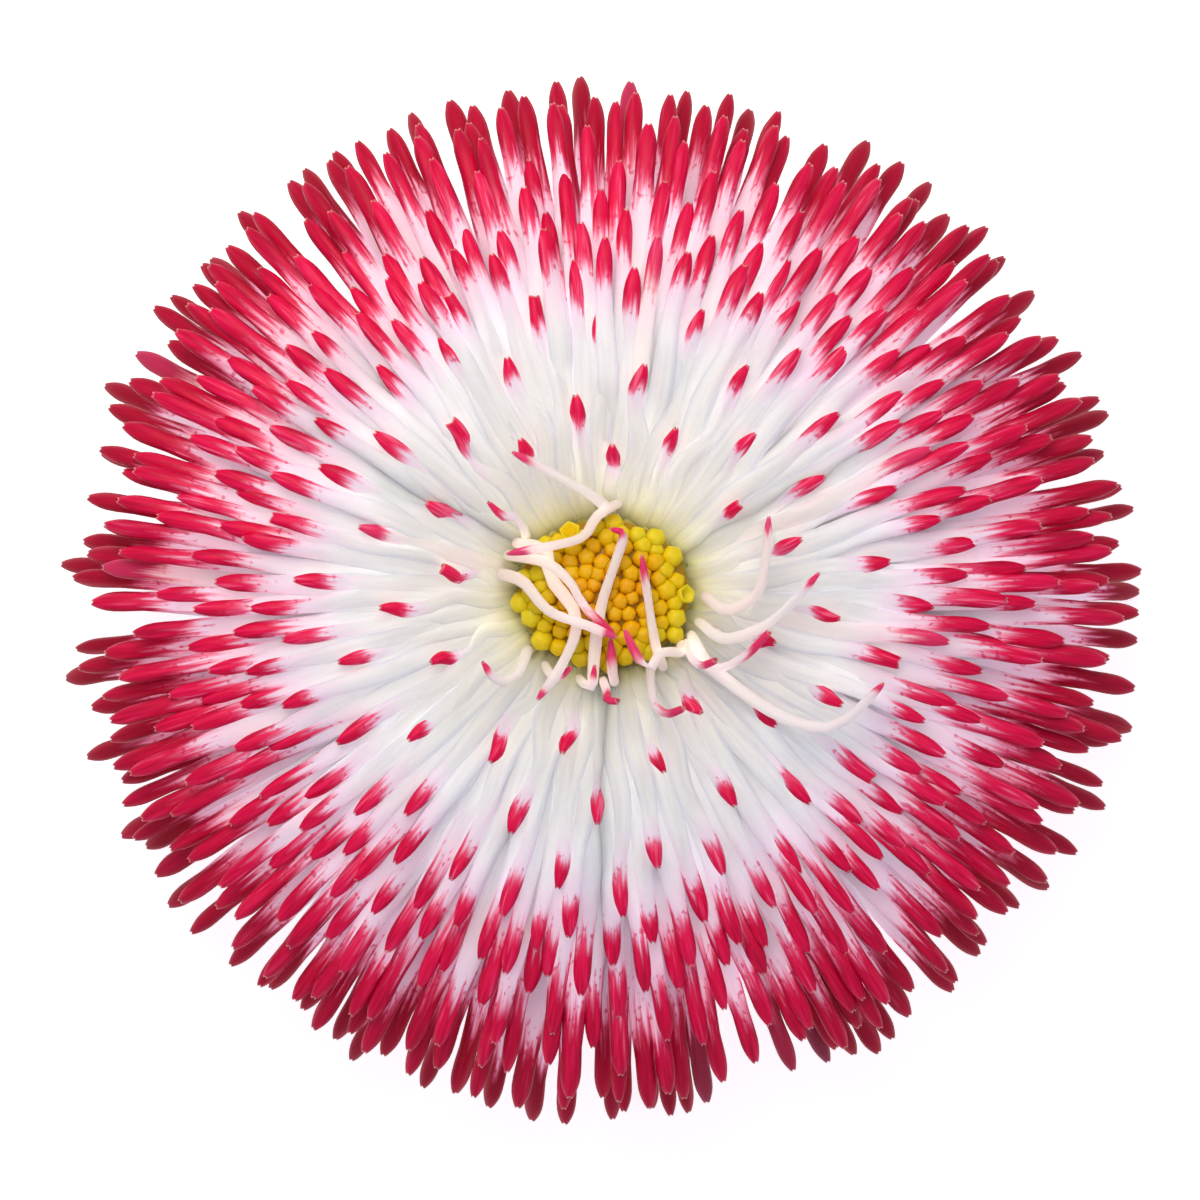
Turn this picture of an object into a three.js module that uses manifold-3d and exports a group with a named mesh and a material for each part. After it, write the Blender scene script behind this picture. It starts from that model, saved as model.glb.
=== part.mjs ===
// Double daisy: one quilled bloom picked with a short stub of stem, lying face up.
// Millimetres, +Z up along the flower's axis, z = 0 is the surface that it rests on.

import * as THREE from "three";
import { mergeVertices } from "three/addons/utils/BufferGeometryUtils.js";
import Module from "manifold-3d";

const wasm = await Module();
wasm.setup();

// Driving dimensions
const BLOOM_RADIUS = 30.2; // axis to the outermost petal tips
const BLOOM_LIFT = 8; // height of the lowest petal roots
const HEAD_DEPTH = 6; // from the lowest petal roots to the highest
const HEAD_TOP = BLOOM_LIFT + HEAD_DEPTH; // flat top of the receptacle, which carries the disc
const ROOT_RADIUS = 5.3; // axis to the highest petal roots
const OVAL = [1.08, 0.93]; // the disc and the roots round it are wider than they are tall
const PETAL_WIDTH = 1.4; // widest place, behind the narrower crimson end
const PETAL_THICKNESS = 0.8; // a petal is rolled lengthwise, so it is nearly a tube
const CURL_WIDTH = 0.75; // the thin petals beside the disc, which curl over it
const TIP_CLEARANCE = 0.7; // lowest tips above the surface, the three that carry it apart
const DISC_RADIUS = 4.3; // yellow centre, to the middle of its outer buds
const DISC_DEPTH = 1.3;
const BUD_RADIUS = 0.47;
const BUD_SPACING = 0.86;
const NODE_GAP = 0.3; // air between two pieces
const BRACT_LENGTH = 7.5;
const BRACT_WIDTH = 2.5;
const BRACT_THICKNESS = 0.65;
const BASE_DEPTH = 0.8; // solid base that the bracts stand on
const STEM_RADIUS = 1.35;
const STEM_END = 0.8; // cut end above the surface

// Counts and the seeded draw
const PETALS = 520; // ray florets of the real head
const OUTER_ROWS = 54; // every petal is built up to this one, and then
const INNER_ROWS = 500; // every third one up to here, where the top ones begin
const CARRYING_PETALS = 3; // the first three stand 137.5 degrees apart, round the weight
const BRACTS = 16;
const SEED = 4.2;
const GOLDEN_ANGLE = Math.PI * (3 - Math.sqrt(5));
const DEGREE = Math.PI / 180;
const PARTING = 289 * DEGREE;

// How far out the tips lie, from the lowest row to the one beside the disc, as a share of the
// bloom's radius: a dense rim, then an inner ring of tips about two thirds of the way out.
const TIP_REACH = [
  [0, 1],
  [0.1, 0.99],
  [0.25, 0.965],
  [0.41, 0.93],
  [0.5, 0.885],
  [0.57, 0.83],
  [0.66, 0.765],
  [0.78, 0.71],
  [0.88, 0.64],
  [0.93, 0.56],
  [0.96, 0.45],
  [1, 0.28],
];

// A number from 0 to 1 that belongs to one item and one use of it.
function draw(item, use) {
  const mixed = Math.sin(item * 12.9898 + use * 78.233 + SEED) * 43758.5453;
  return mixed - Math.floor(mixed);
}

function jitter(item, use, size) {
  return (draw(item, use) * 2 - 1) * size;
}

function mix(from, to, share) {
  return from + (to - from) * share;
}

// Straight lines between the rows of a table.
function lookUp(table, share) {
  const k = table.findIndex(([at]) => at >= share);
  const [before, low] = table[k - 1];
  const [after, high] = table[k];
  return mix(low, high, (share - before) / (after - before));
}

// Booleans
function toSolid(geometry) {
  const bare = new THREE.BufferGeometry();
  bare.setAttribute("position", geometry.getAttribute("position").clone());
  if (geometry.index) bare.setIndex(geometry.index.clone());
  const merged = mergeVertices(bare, 1e-4);
  const mesh = new wasm.Mesh({
    numProp: 3,
    vertProperties: new Float32Array(merged.getAttribute("position").array),
    triVerts: new Uint32Array(merged.index.array),
  });
  return new wasm.Manifold(mesh);
}

// Joins a list pairwise, so that each solid goes through few joins.
function fuse(solids) {
  if (solids.length === 1) return solids[0];
  const half = Math.floor(solids.length / 2);
  return fuse(solids.slice(0, half)).add(fuse(solids.slice(half)));
}

function toMesh(solid, name, color, roughness) {
  const { vertProperties, triVerts } = solid.getMesh();
  const geometry = new THREE.BufferGeometry();
  geometry.setAttribute("position", new THREE.BufferAttribute(vertProperties, 3));
  geometry.setIndex(new THREE.BufferAttribute(triVerts, 1));
  geometry.computeVertexNormals();
  const material = new THREE.MeshStandardMaterial({ color, roughness, metalness: 0 });
  const mesh = new THREE.Mesh(geometry, material);
  mesh.name = name;
  return mesh;
}

// A blade is a cone bent along a curve, flat in the sideways direction. Its width and thickness
// are functions of the share of the way from root to tip; crowding draws its rings to the tip.
function blade(curve, sideways, width, thickness, { sides, rings, crowding = 1 }) {
  const cone = new THREE.ConeGeometry(1, 1, sides, rings);
  const points = cone.getAttribute("position");
  for (let k = 0; k < points.count; k += 1) {
    const along = 1 - (0.5 - points.getY(k)) ** crowding;
    const section = new THREE.Vector2(points.getX(k), points.getZ(k));
    if (section.length() > 1e-6) section.normalize();
    const tangent = curve.getTangent(along);
    const side = sideways.clone().addScaledVector(tangent, -sideways.dot(tangent)).normalize();
    const face = side.clone().cross(tangent);
    const place = curve.getPoint(along);
    place.addScaledVector(side, section.x * width(along) / 2);
    place.addScaledVector(face, section.y * thickness(along) / 2);
    points.setXYZ(k, place.x, place.y, place.z);
  }
  return toSolid(cone);
}

// How far the tips reach in a direction: the bloom is a little wider than it is tall.
function outline(azimuth) {
  return 1 - 0.012 * Math.sin(azimuth) + 0.014 * Math.cos(2 * azimuth);
}

// The outer rows part at one place of the rim, and lean away from it.
function parting(azimuth, share) {
  const away = Math.atan2(Math.sin(azimuth - PARTING), Math.cos(azimuth - PARTING));
  const push = 5.5 * DEGREE * Math.exp(-((away / (9 * DEGREE)) ** 2)) * Math.sign(away);
  return push * Math.max(0, 1 - share / 0.45);
}

function rootPoint(azimuth, radius, height) {
  const x = OVAL[0] * radius * Math.cos(azimuth);
  const y = OVAL[1] * radius * Math.sin(azimuth);
  return new THREE.Vector3(x, y, height);
}

// Centre line of petal number i.
function petalPath(i) {
  const share = (i + 0.5) / PETALS; // 0 at the lowest row, 1 beside the disc
  const azimuth = i * GOLDEN_ANGLE + jitter(i, 1, DEGREE);
  const tipTurn = parting(azimuth, share) + 0.7 * DEGREE * Math.sin(11 * azimuth + 5 * share);
  const tipAzimuth = azimuth + tipTurn + jitter(i, 2, 0.9 * DEGREE);
  const row = BLOOM_RADIUS * lookUp(TIP_REACH, share);
  const reach = row * outline(azimuth) * (1 + jitter(i, 3, 0.025));
  const level = share ** 0.42;
  const root = rootPoint(azimuth, ROOT_RADIUS + 1.2 * (1 - level), BLOOM_LIFT + HEAD_DEPTH * level);
  const rootRise = mix(16, 20, level) * DEGREE + jitter(i, 4, 1.5 * DEGREE);
  const tipRise = mix(-43, -8, share ** 0.47) * DEGREE + jitter(i, 5, 2.5 * DEGREE);
  const run = reach - Math.hypot(root.x, root.y);
  const height = root.z + run * Math.tan((rootRise + tipRise) / 2);
  const tipHeight = i < CARRYING_PETALS ? 0 : Math.max(height, TIP_CLEARANCE);
  const handle = 0.38 * Math.hypot(run, tipHeight - root.z);
  const tip = new THREE.Vector3(Math.cos(tipAzimuth), Math.sin(tipAzimuth), 0);
  const back = tip.clone().multiplyScalar(reach - handle * Math.cos(tipRise));
  back.z = tipHeight - handle * Math.sin(tipRise);
  tip.multiplyScalar(reach).setZ(tipHeight);
  const away = new THREE.Vector3(Math.cos(azimuth), Math.sin(azimuth), Math.tan(rootRise));
  const start = root.clone().addScaledVector(away, handle * Math.cos(rootRise));
  return new THREE.CubicBezierCurve3(root, start, back, tip);
}

function petal(i) {
  const path = petalPath(i);
  const azimuth = Math.atan2(path.v3.y, path.v3.x);
  const sideways = new THREE.Vector3(-Math.sin(azimuth), Math.cos(azimuth), jitter(i, 6, 0.35));
  const full = PETAL_WIDTH * (1 + jitter(i, 7, 0.12));
  const width = (along) => full * mix(0.7, 0.9, along);
  const thickness = (along) => PETAL_THICKNESS * mix(0.9, 1, along);
  return blade(path, sideways, width, thickness, { sides: 3, rings: 4, crowding: 2 });
}

function petalIsBuilt(i) {
  return i < OUTER_ROWS || i >= INNER_ROWS || i % 3 === 0;
}

// The innermost petals, each with the direction of its root and the points that it bends
// through. Most curl in over the disc; the others hook or twist beside it.
const CURLED_PETALS = [
  { root: 91, through: [[0.1, 4.9, 17], [-0.9, 5.6, 17.5], [-3, 6.8, 17.8], [-5.1, 7.9, 18.2]] },
  { root: 83, through: [[-0.4, 4.3, 17.2], [-1.1, 3.2, 17.6], [-2.6, 2.7, 17.9], [-5.4, 2.2, 17.6]] },
  {
    root: 146,
    through: [[-3.2, 2.4, 17.2], [-3, 0.9, 17.4], [-1.5, -1.4, 17.5], [-2.2, -3.8, 17.7], [-3.7, -6, 18.2]],
  },
  { root: 168, through: [[-4.5, 0.6, 17.3], [-3.1, -1, 18], [-1, -1.8, 18.7], [0.7, -2.5, 18.6]] },
  { root: 155, through: [[-3.2, 1.7, 17.7], [-1.8, 0.5, 18.2], [-1.1, -0.8, 18.3], [0.6, -2.3, 18]] },
  {
    root: 264,
    through: [[-0.5, -3.3, 17], [-0.1, -0.6, 17.1], [0.8, 2.1, 17.4], [1.1, 3.3, 17.9], [0.4, 3.6, 18]],
  },
  { root: 305, through: [[2.9, -2.8, 17.1], [2.5, -0.3, 17.4], [2.15, 2.1, 17.8]] },
  { root: 318, through: [[3.2, -3.4, 17.5], [2.5, -4.4, 18.3], [1.8, -3.4, 18.3], [1.2, -2.1, 17.9]] },
  { root: 276, through: [[0.5, -4.4, 16.9], [0.4, -2.6, 17.1]] },
  { root: 257, through: [[-0.7, -5.3, 16.9], [-0.5, -4.1, 17.4]] },
  { root: 236, through: [[-2.7, -4.8, 16.9], [-1.8, -4.2, 17.5]] },
  { root: 325, through: [[5, -3.7, 17], [5.5, -4.1, 17.9], [6.3, -3.8, 18.8]] },
  { root: 222, through: [[-5, -4.9, 17], [-6.1, -4.8, 17.9], [-6.8, -3.9, 18.2]] },
  { root: 139, through: [[-4.8, 4.3, 17], [-5.6, 4.3, 17.6], [-6.5, 5.1, 18.2]] },
  { root: 357, through: [[7, -1, 17], [8.6, -0.1, 17.6], [9.1, 1.8, 18.1], [9.3, 4.3, 18.6]] },
  { root: 340, through: [[7, -2.6, 17], [9.7, -1.4, 18], [12.1, 1.1, 19.2]] },
  { root: 330, through: [[6.2, -4.2, 17], [7.9, -3.6, 18], [9.3, -2.2, 19]] },
  { root: 297, through: [[2.8, -6.1, 17.2], [3.5, -6.8, 18.2], [4.5, -6.5, 18.7]] },
  { root: 322, through: [[8.7, -6.2, 18], [11.6, -7.5, 18.7], [13.5, -7.2, 19.1], [15.7, -5.1, 19.8]] },
  { root: 270, through: [[0.2, -5.6, 17.2], [0.2, -6, 18.2], [0.8, -6.1, 18.7]] },
];

function curledPetal({ root, through }) {
  const foot = rootPoint(root * DEGREE, ROOT_RADIUS, HEAD_TOP - 1);
  const rise = rootPoint(root * DEGREE, ROOT_RADIUS + 0.1, HEAD_TOP + 1.5);
  const bends = through.map(([x, y, z]) => new THREE.Vector3(x, y, mix(HEAD_TOP, z, 0.8)));
  const points = [foot, rise, ...bends];
  const path = new THREE.CatmullRomCurve3(points, false, "centripetal");
  const sideways = new THREE.Vector3(-Math.sin(root * DEGREE), Math.cos(root * DEGREE), 0.4);
  const width = () => CURL_WIDTH;
  return blade(path, sideways, width, width, { sides: 3, rings: points.length + 2 });
}

function turned(profile, sides) {
  const points = profile.map(([radius, height]) => new THREE.Vector2(radius, height));
  return new THREE.LatheGeometry(points, sides).rotateX(Math.PI / 2);
}

// The head that the petals grow from. It takes in the bases of the petals, which are packed
// tight there.
function receptacle() {
  const profile = [
    [0, BLOOM_LIFT - 1],
    [5.8, BLOOM_LIFT - 1],
    [8.4, BLOOM_LIFT],
    [10.4, BLOOM_LIFT + 1.4],
    [11, BLOOM_LIFT + 3.4],
    [10.4, HEAD_TOP],
    [8.6, HEAD_TOP + 0.9],
    [6.6, HEAD_TOP + 0.5],
    [5.1, HEAD_TOP],
    [0, HEAD_TOP],
  ];
  return toSolid(turned(profile, 24).scale(OVAL[0], OVAL[1], 1));
}

// Yellow disc: closed buds and small tubes, packed as a sunflower packs its seeds.
function disc() {
  const floor = HEAD_TOP + NODE_GAP;
  const side = DISC_RADIUS + 0.15;
  const profile = [
    [0, floor],
    [DISC_RADIUS, floor],
    [side, floor + 0.5],
    [0.7 * side, floor + 1],
    [0, floor + DISC_DEPTH],
  ];
  const solids = [toSolid(turned(profile, 20).scale(OVAL[0], OVAL[1], 1))];
  const buds = Math.round((DISC_RADIUS / BUD_SPACING) ** 2 * 3.8);
  for (let i = 0; i < buds; i += 1) {
    const radius = DISC_RADIUS * Math.sqrt((i + 0.5) / buds);
    const bud = new THREE.IcosahedronGeometry(BUD_RADIUS * (1 + jitter(i, 8, 0.08)));
    bud.rotateZ(i).scale(1, 1, 1.25);
    const height = floor + mix(DISC_DEPTH, 0.5, (radius / side) ** 2);
    const place = rootPoint(i * GOLDEN_ANGLE, radius, height);
    solids.push(toSolid(bud.translate(place.x, place.y, place.z)));
  }
  return fuse(solids);
}

// Green cup under the petals: a rosette of blunt bracts on a shallow base.
function bracts() {
  const top = BLOOM_LIFT - 1 - NODE_GAP;
  const profile = [[0, top - BASE_DEPTH], [3.4, top - BASE_DEPTH], [4.8, top - 0.3], [5, top], [0, top]];
  const solids = [toSolid(turned(profile, 20))];
  for (let i = 0; i < BRACTS; i += 1) {
    const azimuth = (i / BRACTS) * 2 * Math.PI + jitter(i, 9, 0.06);
    const length = BRACT_LENGTH * (1 + jitter(i, 10, 0.07));
    const lift = i % 2 === 0 ? 0 : 0.25;
    const away = new THREE.Vector3(Math.cos(azimuth), Math.sin(azimuth), 0);
    const at = (out, height) => away.clone().multiplyScalar(out).setZ(top - 0.45 + height);
    const tip = at(3.7 + length, 0.5 + lift);
    const path = new THREE.CubicBezierCurve3(at(3.2, 0), at(5.5, -0.1), at(7.8, lift), tip);
    const sideways = new THREE.Vector3(-away.y, away.x, 0);
    const width = (along) => BRACT_WIDTH * mix(0.9, 1, Math.sin(along * Math.PI));
    const thickness = () => BRACT_THICKNESS;
    solids.push(blade(path, sideways, width, thickness, { sides: 4, rings: 4, crowding: 1.7 }));
  }
  return fuse(solids);
}

// Short stub of stem, cut square, a little thicker under the head.
function stem() {
  const top = BLOOM_LIFT - 1 - BASE_DEPTH - 2 * NODE_GAP;
  const neck = [[STEM_RADIUS, top - 1.6], [STEM_RADIUS + 0.5, top]];
  return toSolid(turned([[0, STEM_END], [STEM_RADIUS, STEM_END], ...neck, [0, top]], 14));
}

const petals = [receptacle(), ...CURLED_PETALS.map(curledPetal)];
for (let i = 0; i < PETALS; i += 1) {
  if (petalIsBuilt(i)) petals.push(petal(i));
}

const group = new THREE.Group();
group.add(toMesh(fuse(petals), "ray_petals", "#e9dbe0", 0.55));
group.add(toMesh(disc(), "disc_florets", "#d9a412", 0.6));
group.add(toMesh(bracts(), "involucre_bracts", "#5f8a3c", 0.65));
group.add(toMesh(stem(), "stem", "#86a04e", 0.6));

export default group;
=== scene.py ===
"""Double daisy: the looks of one quilled bloom, lying face up, seen from straight above."""

import math

import bpy
import numpy as np
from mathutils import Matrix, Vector


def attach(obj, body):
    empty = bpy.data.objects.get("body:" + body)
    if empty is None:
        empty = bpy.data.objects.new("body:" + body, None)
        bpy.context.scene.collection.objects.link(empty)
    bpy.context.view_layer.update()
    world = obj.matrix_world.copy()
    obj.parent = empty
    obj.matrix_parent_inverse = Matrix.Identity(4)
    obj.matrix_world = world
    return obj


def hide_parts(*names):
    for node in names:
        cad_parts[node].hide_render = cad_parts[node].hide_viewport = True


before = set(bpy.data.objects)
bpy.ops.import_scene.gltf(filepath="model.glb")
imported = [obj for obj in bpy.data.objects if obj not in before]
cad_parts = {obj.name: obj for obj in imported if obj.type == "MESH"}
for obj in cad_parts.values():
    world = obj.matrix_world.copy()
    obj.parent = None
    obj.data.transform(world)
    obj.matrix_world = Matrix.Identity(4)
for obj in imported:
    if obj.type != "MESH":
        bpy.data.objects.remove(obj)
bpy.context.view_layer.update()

# Lengths are in millimetres up to the stage, and are turned to metres when a mesh is made.
MM = 0.001
DEGREE = math.pi / 180
GOLDEN_ANGLE = math.pi * (3 - math.sqrt(5))

# The bloom, as the solids have it
BLOOM_RADIUS = 30.2  # axis to the outermost petal tips
BLOOM_LIFT = 8  # height of the lowest petal roots
HEAD_DEPTH = 6  # from the lowest petal roots to the highest
HEAD_TOP = BLOOM_LIFT + HEAD_DEPTH
ROOT_RADIUS = 5.3  # axis to the highest petal roots
OVAL = (1.08, 0.93)  # the disc and the roots round it are wider than they are tall
PETAL_WIDTH = 1.4  # widest place, behind the narrower crimson end
CURL_WIDTH = 0.75
TIP_CLEARANCE = 0.7
DISC_RADIUS = 4.3
DISC_DEPTH = 1.3
BUD_RADIUS = 0.47
BUD_SPACING = 0.86
NODE_GAP = 0.3
BRACT_LENGTH = 7.5
BRACT_WIDTH = 2.5
BASE_DEPTH = 0.8
STEM_RADIUS = 1.35
STEM_END = 0.8
PETALS = 520
CARRYING_PETALS = 3
BRACTS = 16
SEED = 4.2
PARTING = 289 * DEGREE

# How far out the tips lie, from the lowest row to the one beside the disc: a dense rim, then
# an inner ring of tips about two thirds of the way out, and few inside that.
ROW_SHARE = [0, 0.1, 0.25, 0.41, 0.5, 0.57, 0.66, 0.78, 0.88, 0.93, 0.96, 1]
TIP_REACH = [1, 0.99, 0.965, 0.93, 0.885, 0.83, 0.765, 0.71, 0.64, 0.56, 0.45, 0.28]

# How a centre line runs, from the lowest row to the one beside the disc
ROOT_SPREAD = 1.2  # the lowest roots stand this much further out
ROOT_CURVE = 0.42  # below 1: the roots climb quickly at first, as round a dome
TIP_CURVE = 0.47  # the same for the slope of the tips
ROOT_RISE = (16, 20)  # degrees above level at the root
TIP_RISE = (-43, -8)  # degrees above level at the tip
STIFFNESS = 0.38  # share of the line that each of its ends holds straight

# How far a petal may differ from its rule
ROOT_TURN_JITTER = 1.0  # degrees round the bloom
TIP_TURN_JITTER = 0.9
ROOT_RISE_JITTER = 1.5  # degrees
TIP_RISE_JITTER = 2.5
REACH_JITTER = 0.025  # shares of the length or width itself
WIDTH_JITTER = 0.12
RED_JITTER = 0.25

# How the petals are drawn here, finer than the solids
SHAFT_THICKNESS = 0.48  # a petal is a flat strap behind its end
END_THICKNESS = 0.78
SECTION_POINTS = 12  # round a petal
SHAFT_RINGS = 12  # along a petal, behind its tip

# Length of the crimson end by how far out the tip is, as a share of the bloom's radius
CRIMSON_REACH = [0.3, 0.5, 0.62, 0.72, 0.85, 1]
CRIMSON_LENGTH = [1.2, 1.5, 1.85, 2.6, 3.5, 4.7]


def draw(item, use):
    """A number from 0 to 1 that belongs to one item and one use of it."""
    mixed = math.sin(item * 12.9898 + use * 78.233 + SEED) * 43758.5453
    return mixed - math.floor(mixed)


def jitter(item, use, size):
    return (draw(item, use) * 2 - 1) * size


def mix(start, end, share):
    return start + (end - start) * share


def ease(share):
    share = np.clip(share, 0, 1)
    return share * share * (3 - 2 * share)


# Centre lines of the petals, by the same rule as the solids


def outline(azimuth):
    """How far the tips reach in a direction."""
    return 1 - 0.012 * math.sin(azimuth) + 0.014 * math.cos(2 * azimuth)


def parting(azimuth, share):
    """The outer rows part at one place of the rim, and lean away from it."""
    away = math.atan2(math.sin(azimuth - PARTING), math.cos(azimuth - PARTING))
    push = 5.5 * DEGREE * math.exp(-((away / (9 * DEGREE)) ** 2)) * math.copysign(1, away)
    return push * max(0, 1 - share / 0.45)


def root_point(azimuth, radius, height):
    x = OVAL[0] * radius * math.cos(azimuth)
    y = OVAL[1] * radius * math.sin(azimuth)
    return np.array([x, y, height])


def petal_share(i):
    """0 at the lowest row, 1 beside the disc."""
    return (i + 0.5) / PETALS


def petal_controls(i):
    """The four control points of petal i's centre line."""
    share = petal_share(i)
    azimuth = i * GOLDEN_ANGLE + jitter(i, 1, ROOT_TURN_JITTER * DEGREE)
    # Neighbours lean together a little, in eleven loose tufts.
    tip_turn = parting(azimuth, share) + 0.7 * DEGREE * math.sin(11 * azimuth + 5 * share)
    tip_azimuth = azimuth + tip_turn + jitter(i, 2, TIP_TURN_JITTER * DEGREE)
    reach = BLOOM_RADIUS * np.interp(share, ROW_SHARE, TIP_REACH)
    reach *= outline(azimuth) * (1 + jitter(i, 3, REACH_JITTER))
    level = share**ROOT_CURVE
    root_radius = ROOT_RADIUS + ROOT_SPREAD * (1 - level)
    root = root_point(azimuth, root_radius, BLOOM_LIFT + HEAD_DEPTH * level)
    root_rise = mix(*ROOT_RISE, level) * DEGREE + jitter(i, 4, ROOT_RISE_JITTER * DEGREE)
    tip_rise = mix(*TIP_RISE, share**TIP_CURVE) * DEGREE + jitter(i, 5, TIP_RISE_JITTER * DEGREE)
    run = reach - math.hypot(root[0], root[1])
    height = root[2] + run * math.tan((root_rise + tip_rise) / 2)
    tip_height = 0 if i < CARRYING_PETALS else max(height, TIP_CLEARANCE)
    handle = STIFFNESS * math.hypot(run, tip_height - root[2])
    away = np.array([math.cos(azimuth), math.sin(azimuth), math.tan(root_rise)])
    start = root + away * handle * math.cos(root_rise)
    tip_way = np.array([math.cos(tip_azimuth), math.sin(tip_azimuth), 0])
    back = tip_way * (reach - handle * math.cos(tip_rise))
    back[2] = tip_height - handle * math.sin(tip_rise)
    tip = tip_way * reach
    tip[2] = tip_height
    return root, start, back, tip


def bezier(controls, steps=48):
    t = np.linspace(0, 1, steps)[:, None]
    root, start, back, tip = controls
    near_root = (1 - t) ** 3 * root + 3 * (1 - t) ** 2 * t * start
    return near_root + 3 * (1 - t) * t**2 * back + t**3 * tip


def smooth_line(points, steps_each=10):
    """A smooth line through the points, eased at its ends."""
    p = np.array(points, float)
    p = np.vstack([2 * p[0] - p[1], p, 2 * p[-1] - p[-2]])
    line = []
    for k in range(1, len(p) - 2):
        t = np.linspace(0, 1, steps_each, endpoint=False)[:, None]
        a = 2 * p[k]
        b = p[k + 1] - p[k - 1]
        c = 2 * p[k - 1] - 5 * p[k] + 4 * p[k + 1] - p[k + 2]
        d = -p[k - 1] + 3 * p[k] - 3 * p[k + 1] + p[k + 2]
        line.append(0.5 * (a + b * t + c * t**2 + d * t**3))
    return np.vstack(line + [p[-2][None]])


# The innermost petals, each with the direction of its root and the points that it bends
# through. Most curl in over the disc; the others hook or twist beside it.
CURLED_PETALS = [
    (91, [(0.1, 4.9, 17), (-0.9, 5.6, 17.5), (-3, 6.8, 17.8), (-5.1, 7.9, 18.2)]),
    (83, [(-0.4, 4.3, 17.2), (-1.1, 3.2, 17.6), (-2.6, 2.7, 17.9), (-5.4, 2.2, 17.6)]),
    (146, [
        (-3.2, 2.4, 17.2), (-3, 0.9, 17.4), (-1.5, -1.4, 17.5),
        (-2.2, -3.8, 17.7), (-3.7, -6, 18.2),
    ]),
    (168, [(-4.5, 0.6, 17.3), (-3.1, -1, 18), (-1, -1.8, 18.7), (0.7, -2.5, 18.6)]),
    (155, [(-3.2, 1.7, 17.7), (-1.8, 0.5, 18.2), (-1.1, -0.8, 18.3), (0.6, -2.3, 18)]),
    (264, [
        (-0.5, -3.3, 17), (-0.1, -0.6, 17.1), (0.8, 2.1, 17.4), (1.1, 3.3, 17.9), (0.4, 3.6, 18),
    ]),
    (305, [(2.9, -2.8, 17.1), (2.5, -0.3, 17.4), (2.15, 2.1, 17.8)]),
    (318, [(3.2, -3.4, 17.5), (2.5, -4.4, 18.3), (1.8, -3.4, 18.3), (1.2, -2.1, 17.9)]),
    (276, [(0.5, -4.4, 16.9), (0.4, -2.6, 17.1)]),
    (257, [(-0.7, -5.3, 16.9), (-0.5, -4.1, 17.4)]),
    (236, [(-2.7, -4.8, 16.9), (-1.8, -4.2, 17.5)]),
    (325, [(5, -3.7, 17), (5.5, -4.1, 17.9), (6.3, -3.8, 18.8)]),
    (222, [(-5, -4.9, 17), (-6.1, -4.8, 17.9), (-6.8, -3.9, 18.2)]),
    (139, [(-4.8, 4.3, 17), (-5.6, 4.3, 17.6), (-6.5, 5.1, 18.2)]),
    (357, [(7, -1, 17), (8.6, -0.1, 17.6), (9.1, 1.8, 18.1), (9.3, 4.3, 18.6)]),
    (340, [(7, -2.6, 17), (9.7, -1.4, 18), (12.1, 1.1, 19.2)]),
    (330, [(6.2, -4.2, 17), (7.9, -3.6, 18), (9.3, -2.2, 19)]),
    (297, [(2.8, -6.1, 17.2), (3.5, -6.8, 18.2), (4.5, -6.5, 18.7)]),
    (322, [(8.7, -6.2, 18), (11.6, -7.5, 18.7), (13.5, -7.2, 19.1), (15.7, -5.1, 19.8)]),
    (270, [(0.2, -5.6, 17.2), (0.2, -6, 18.2), (0.8, -6.1, 18.7)]),
]

OPEN_CURLS = (11, 16, 17, 19)  # those of them that show an open end

# A petal's end, from inside its mouth out and back along it: distance behind the tip in
# millimetres, and share of the full width there.
NOTCHED_END = [
    (0.24, 0.02), (0.12, 0.10), (0.02, 0.16), (0, 0.22), (0.04, 0.30), (0.14, 0.43), (0.32, 0.58),
    (0.6, 0.75), (0.9, 0.88), (1.3, 0.97), (1.9, 1), (3.0, 1),
]
OPEN_END = [
    (0.90, 0.05), (0.80, 0.36), (0.35, 0.48), (0.05, 0.56), (0, 0.64), (0.06, 0.71), (0.22, 0.76),
    (0.50, 0.81), (0.90, 0.87), (1.4, 0.94), (2.0, 1), (2.6, 1),
]
MOUTH_STATIONS = 3  # how many of them lie inside the mouth


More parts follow.
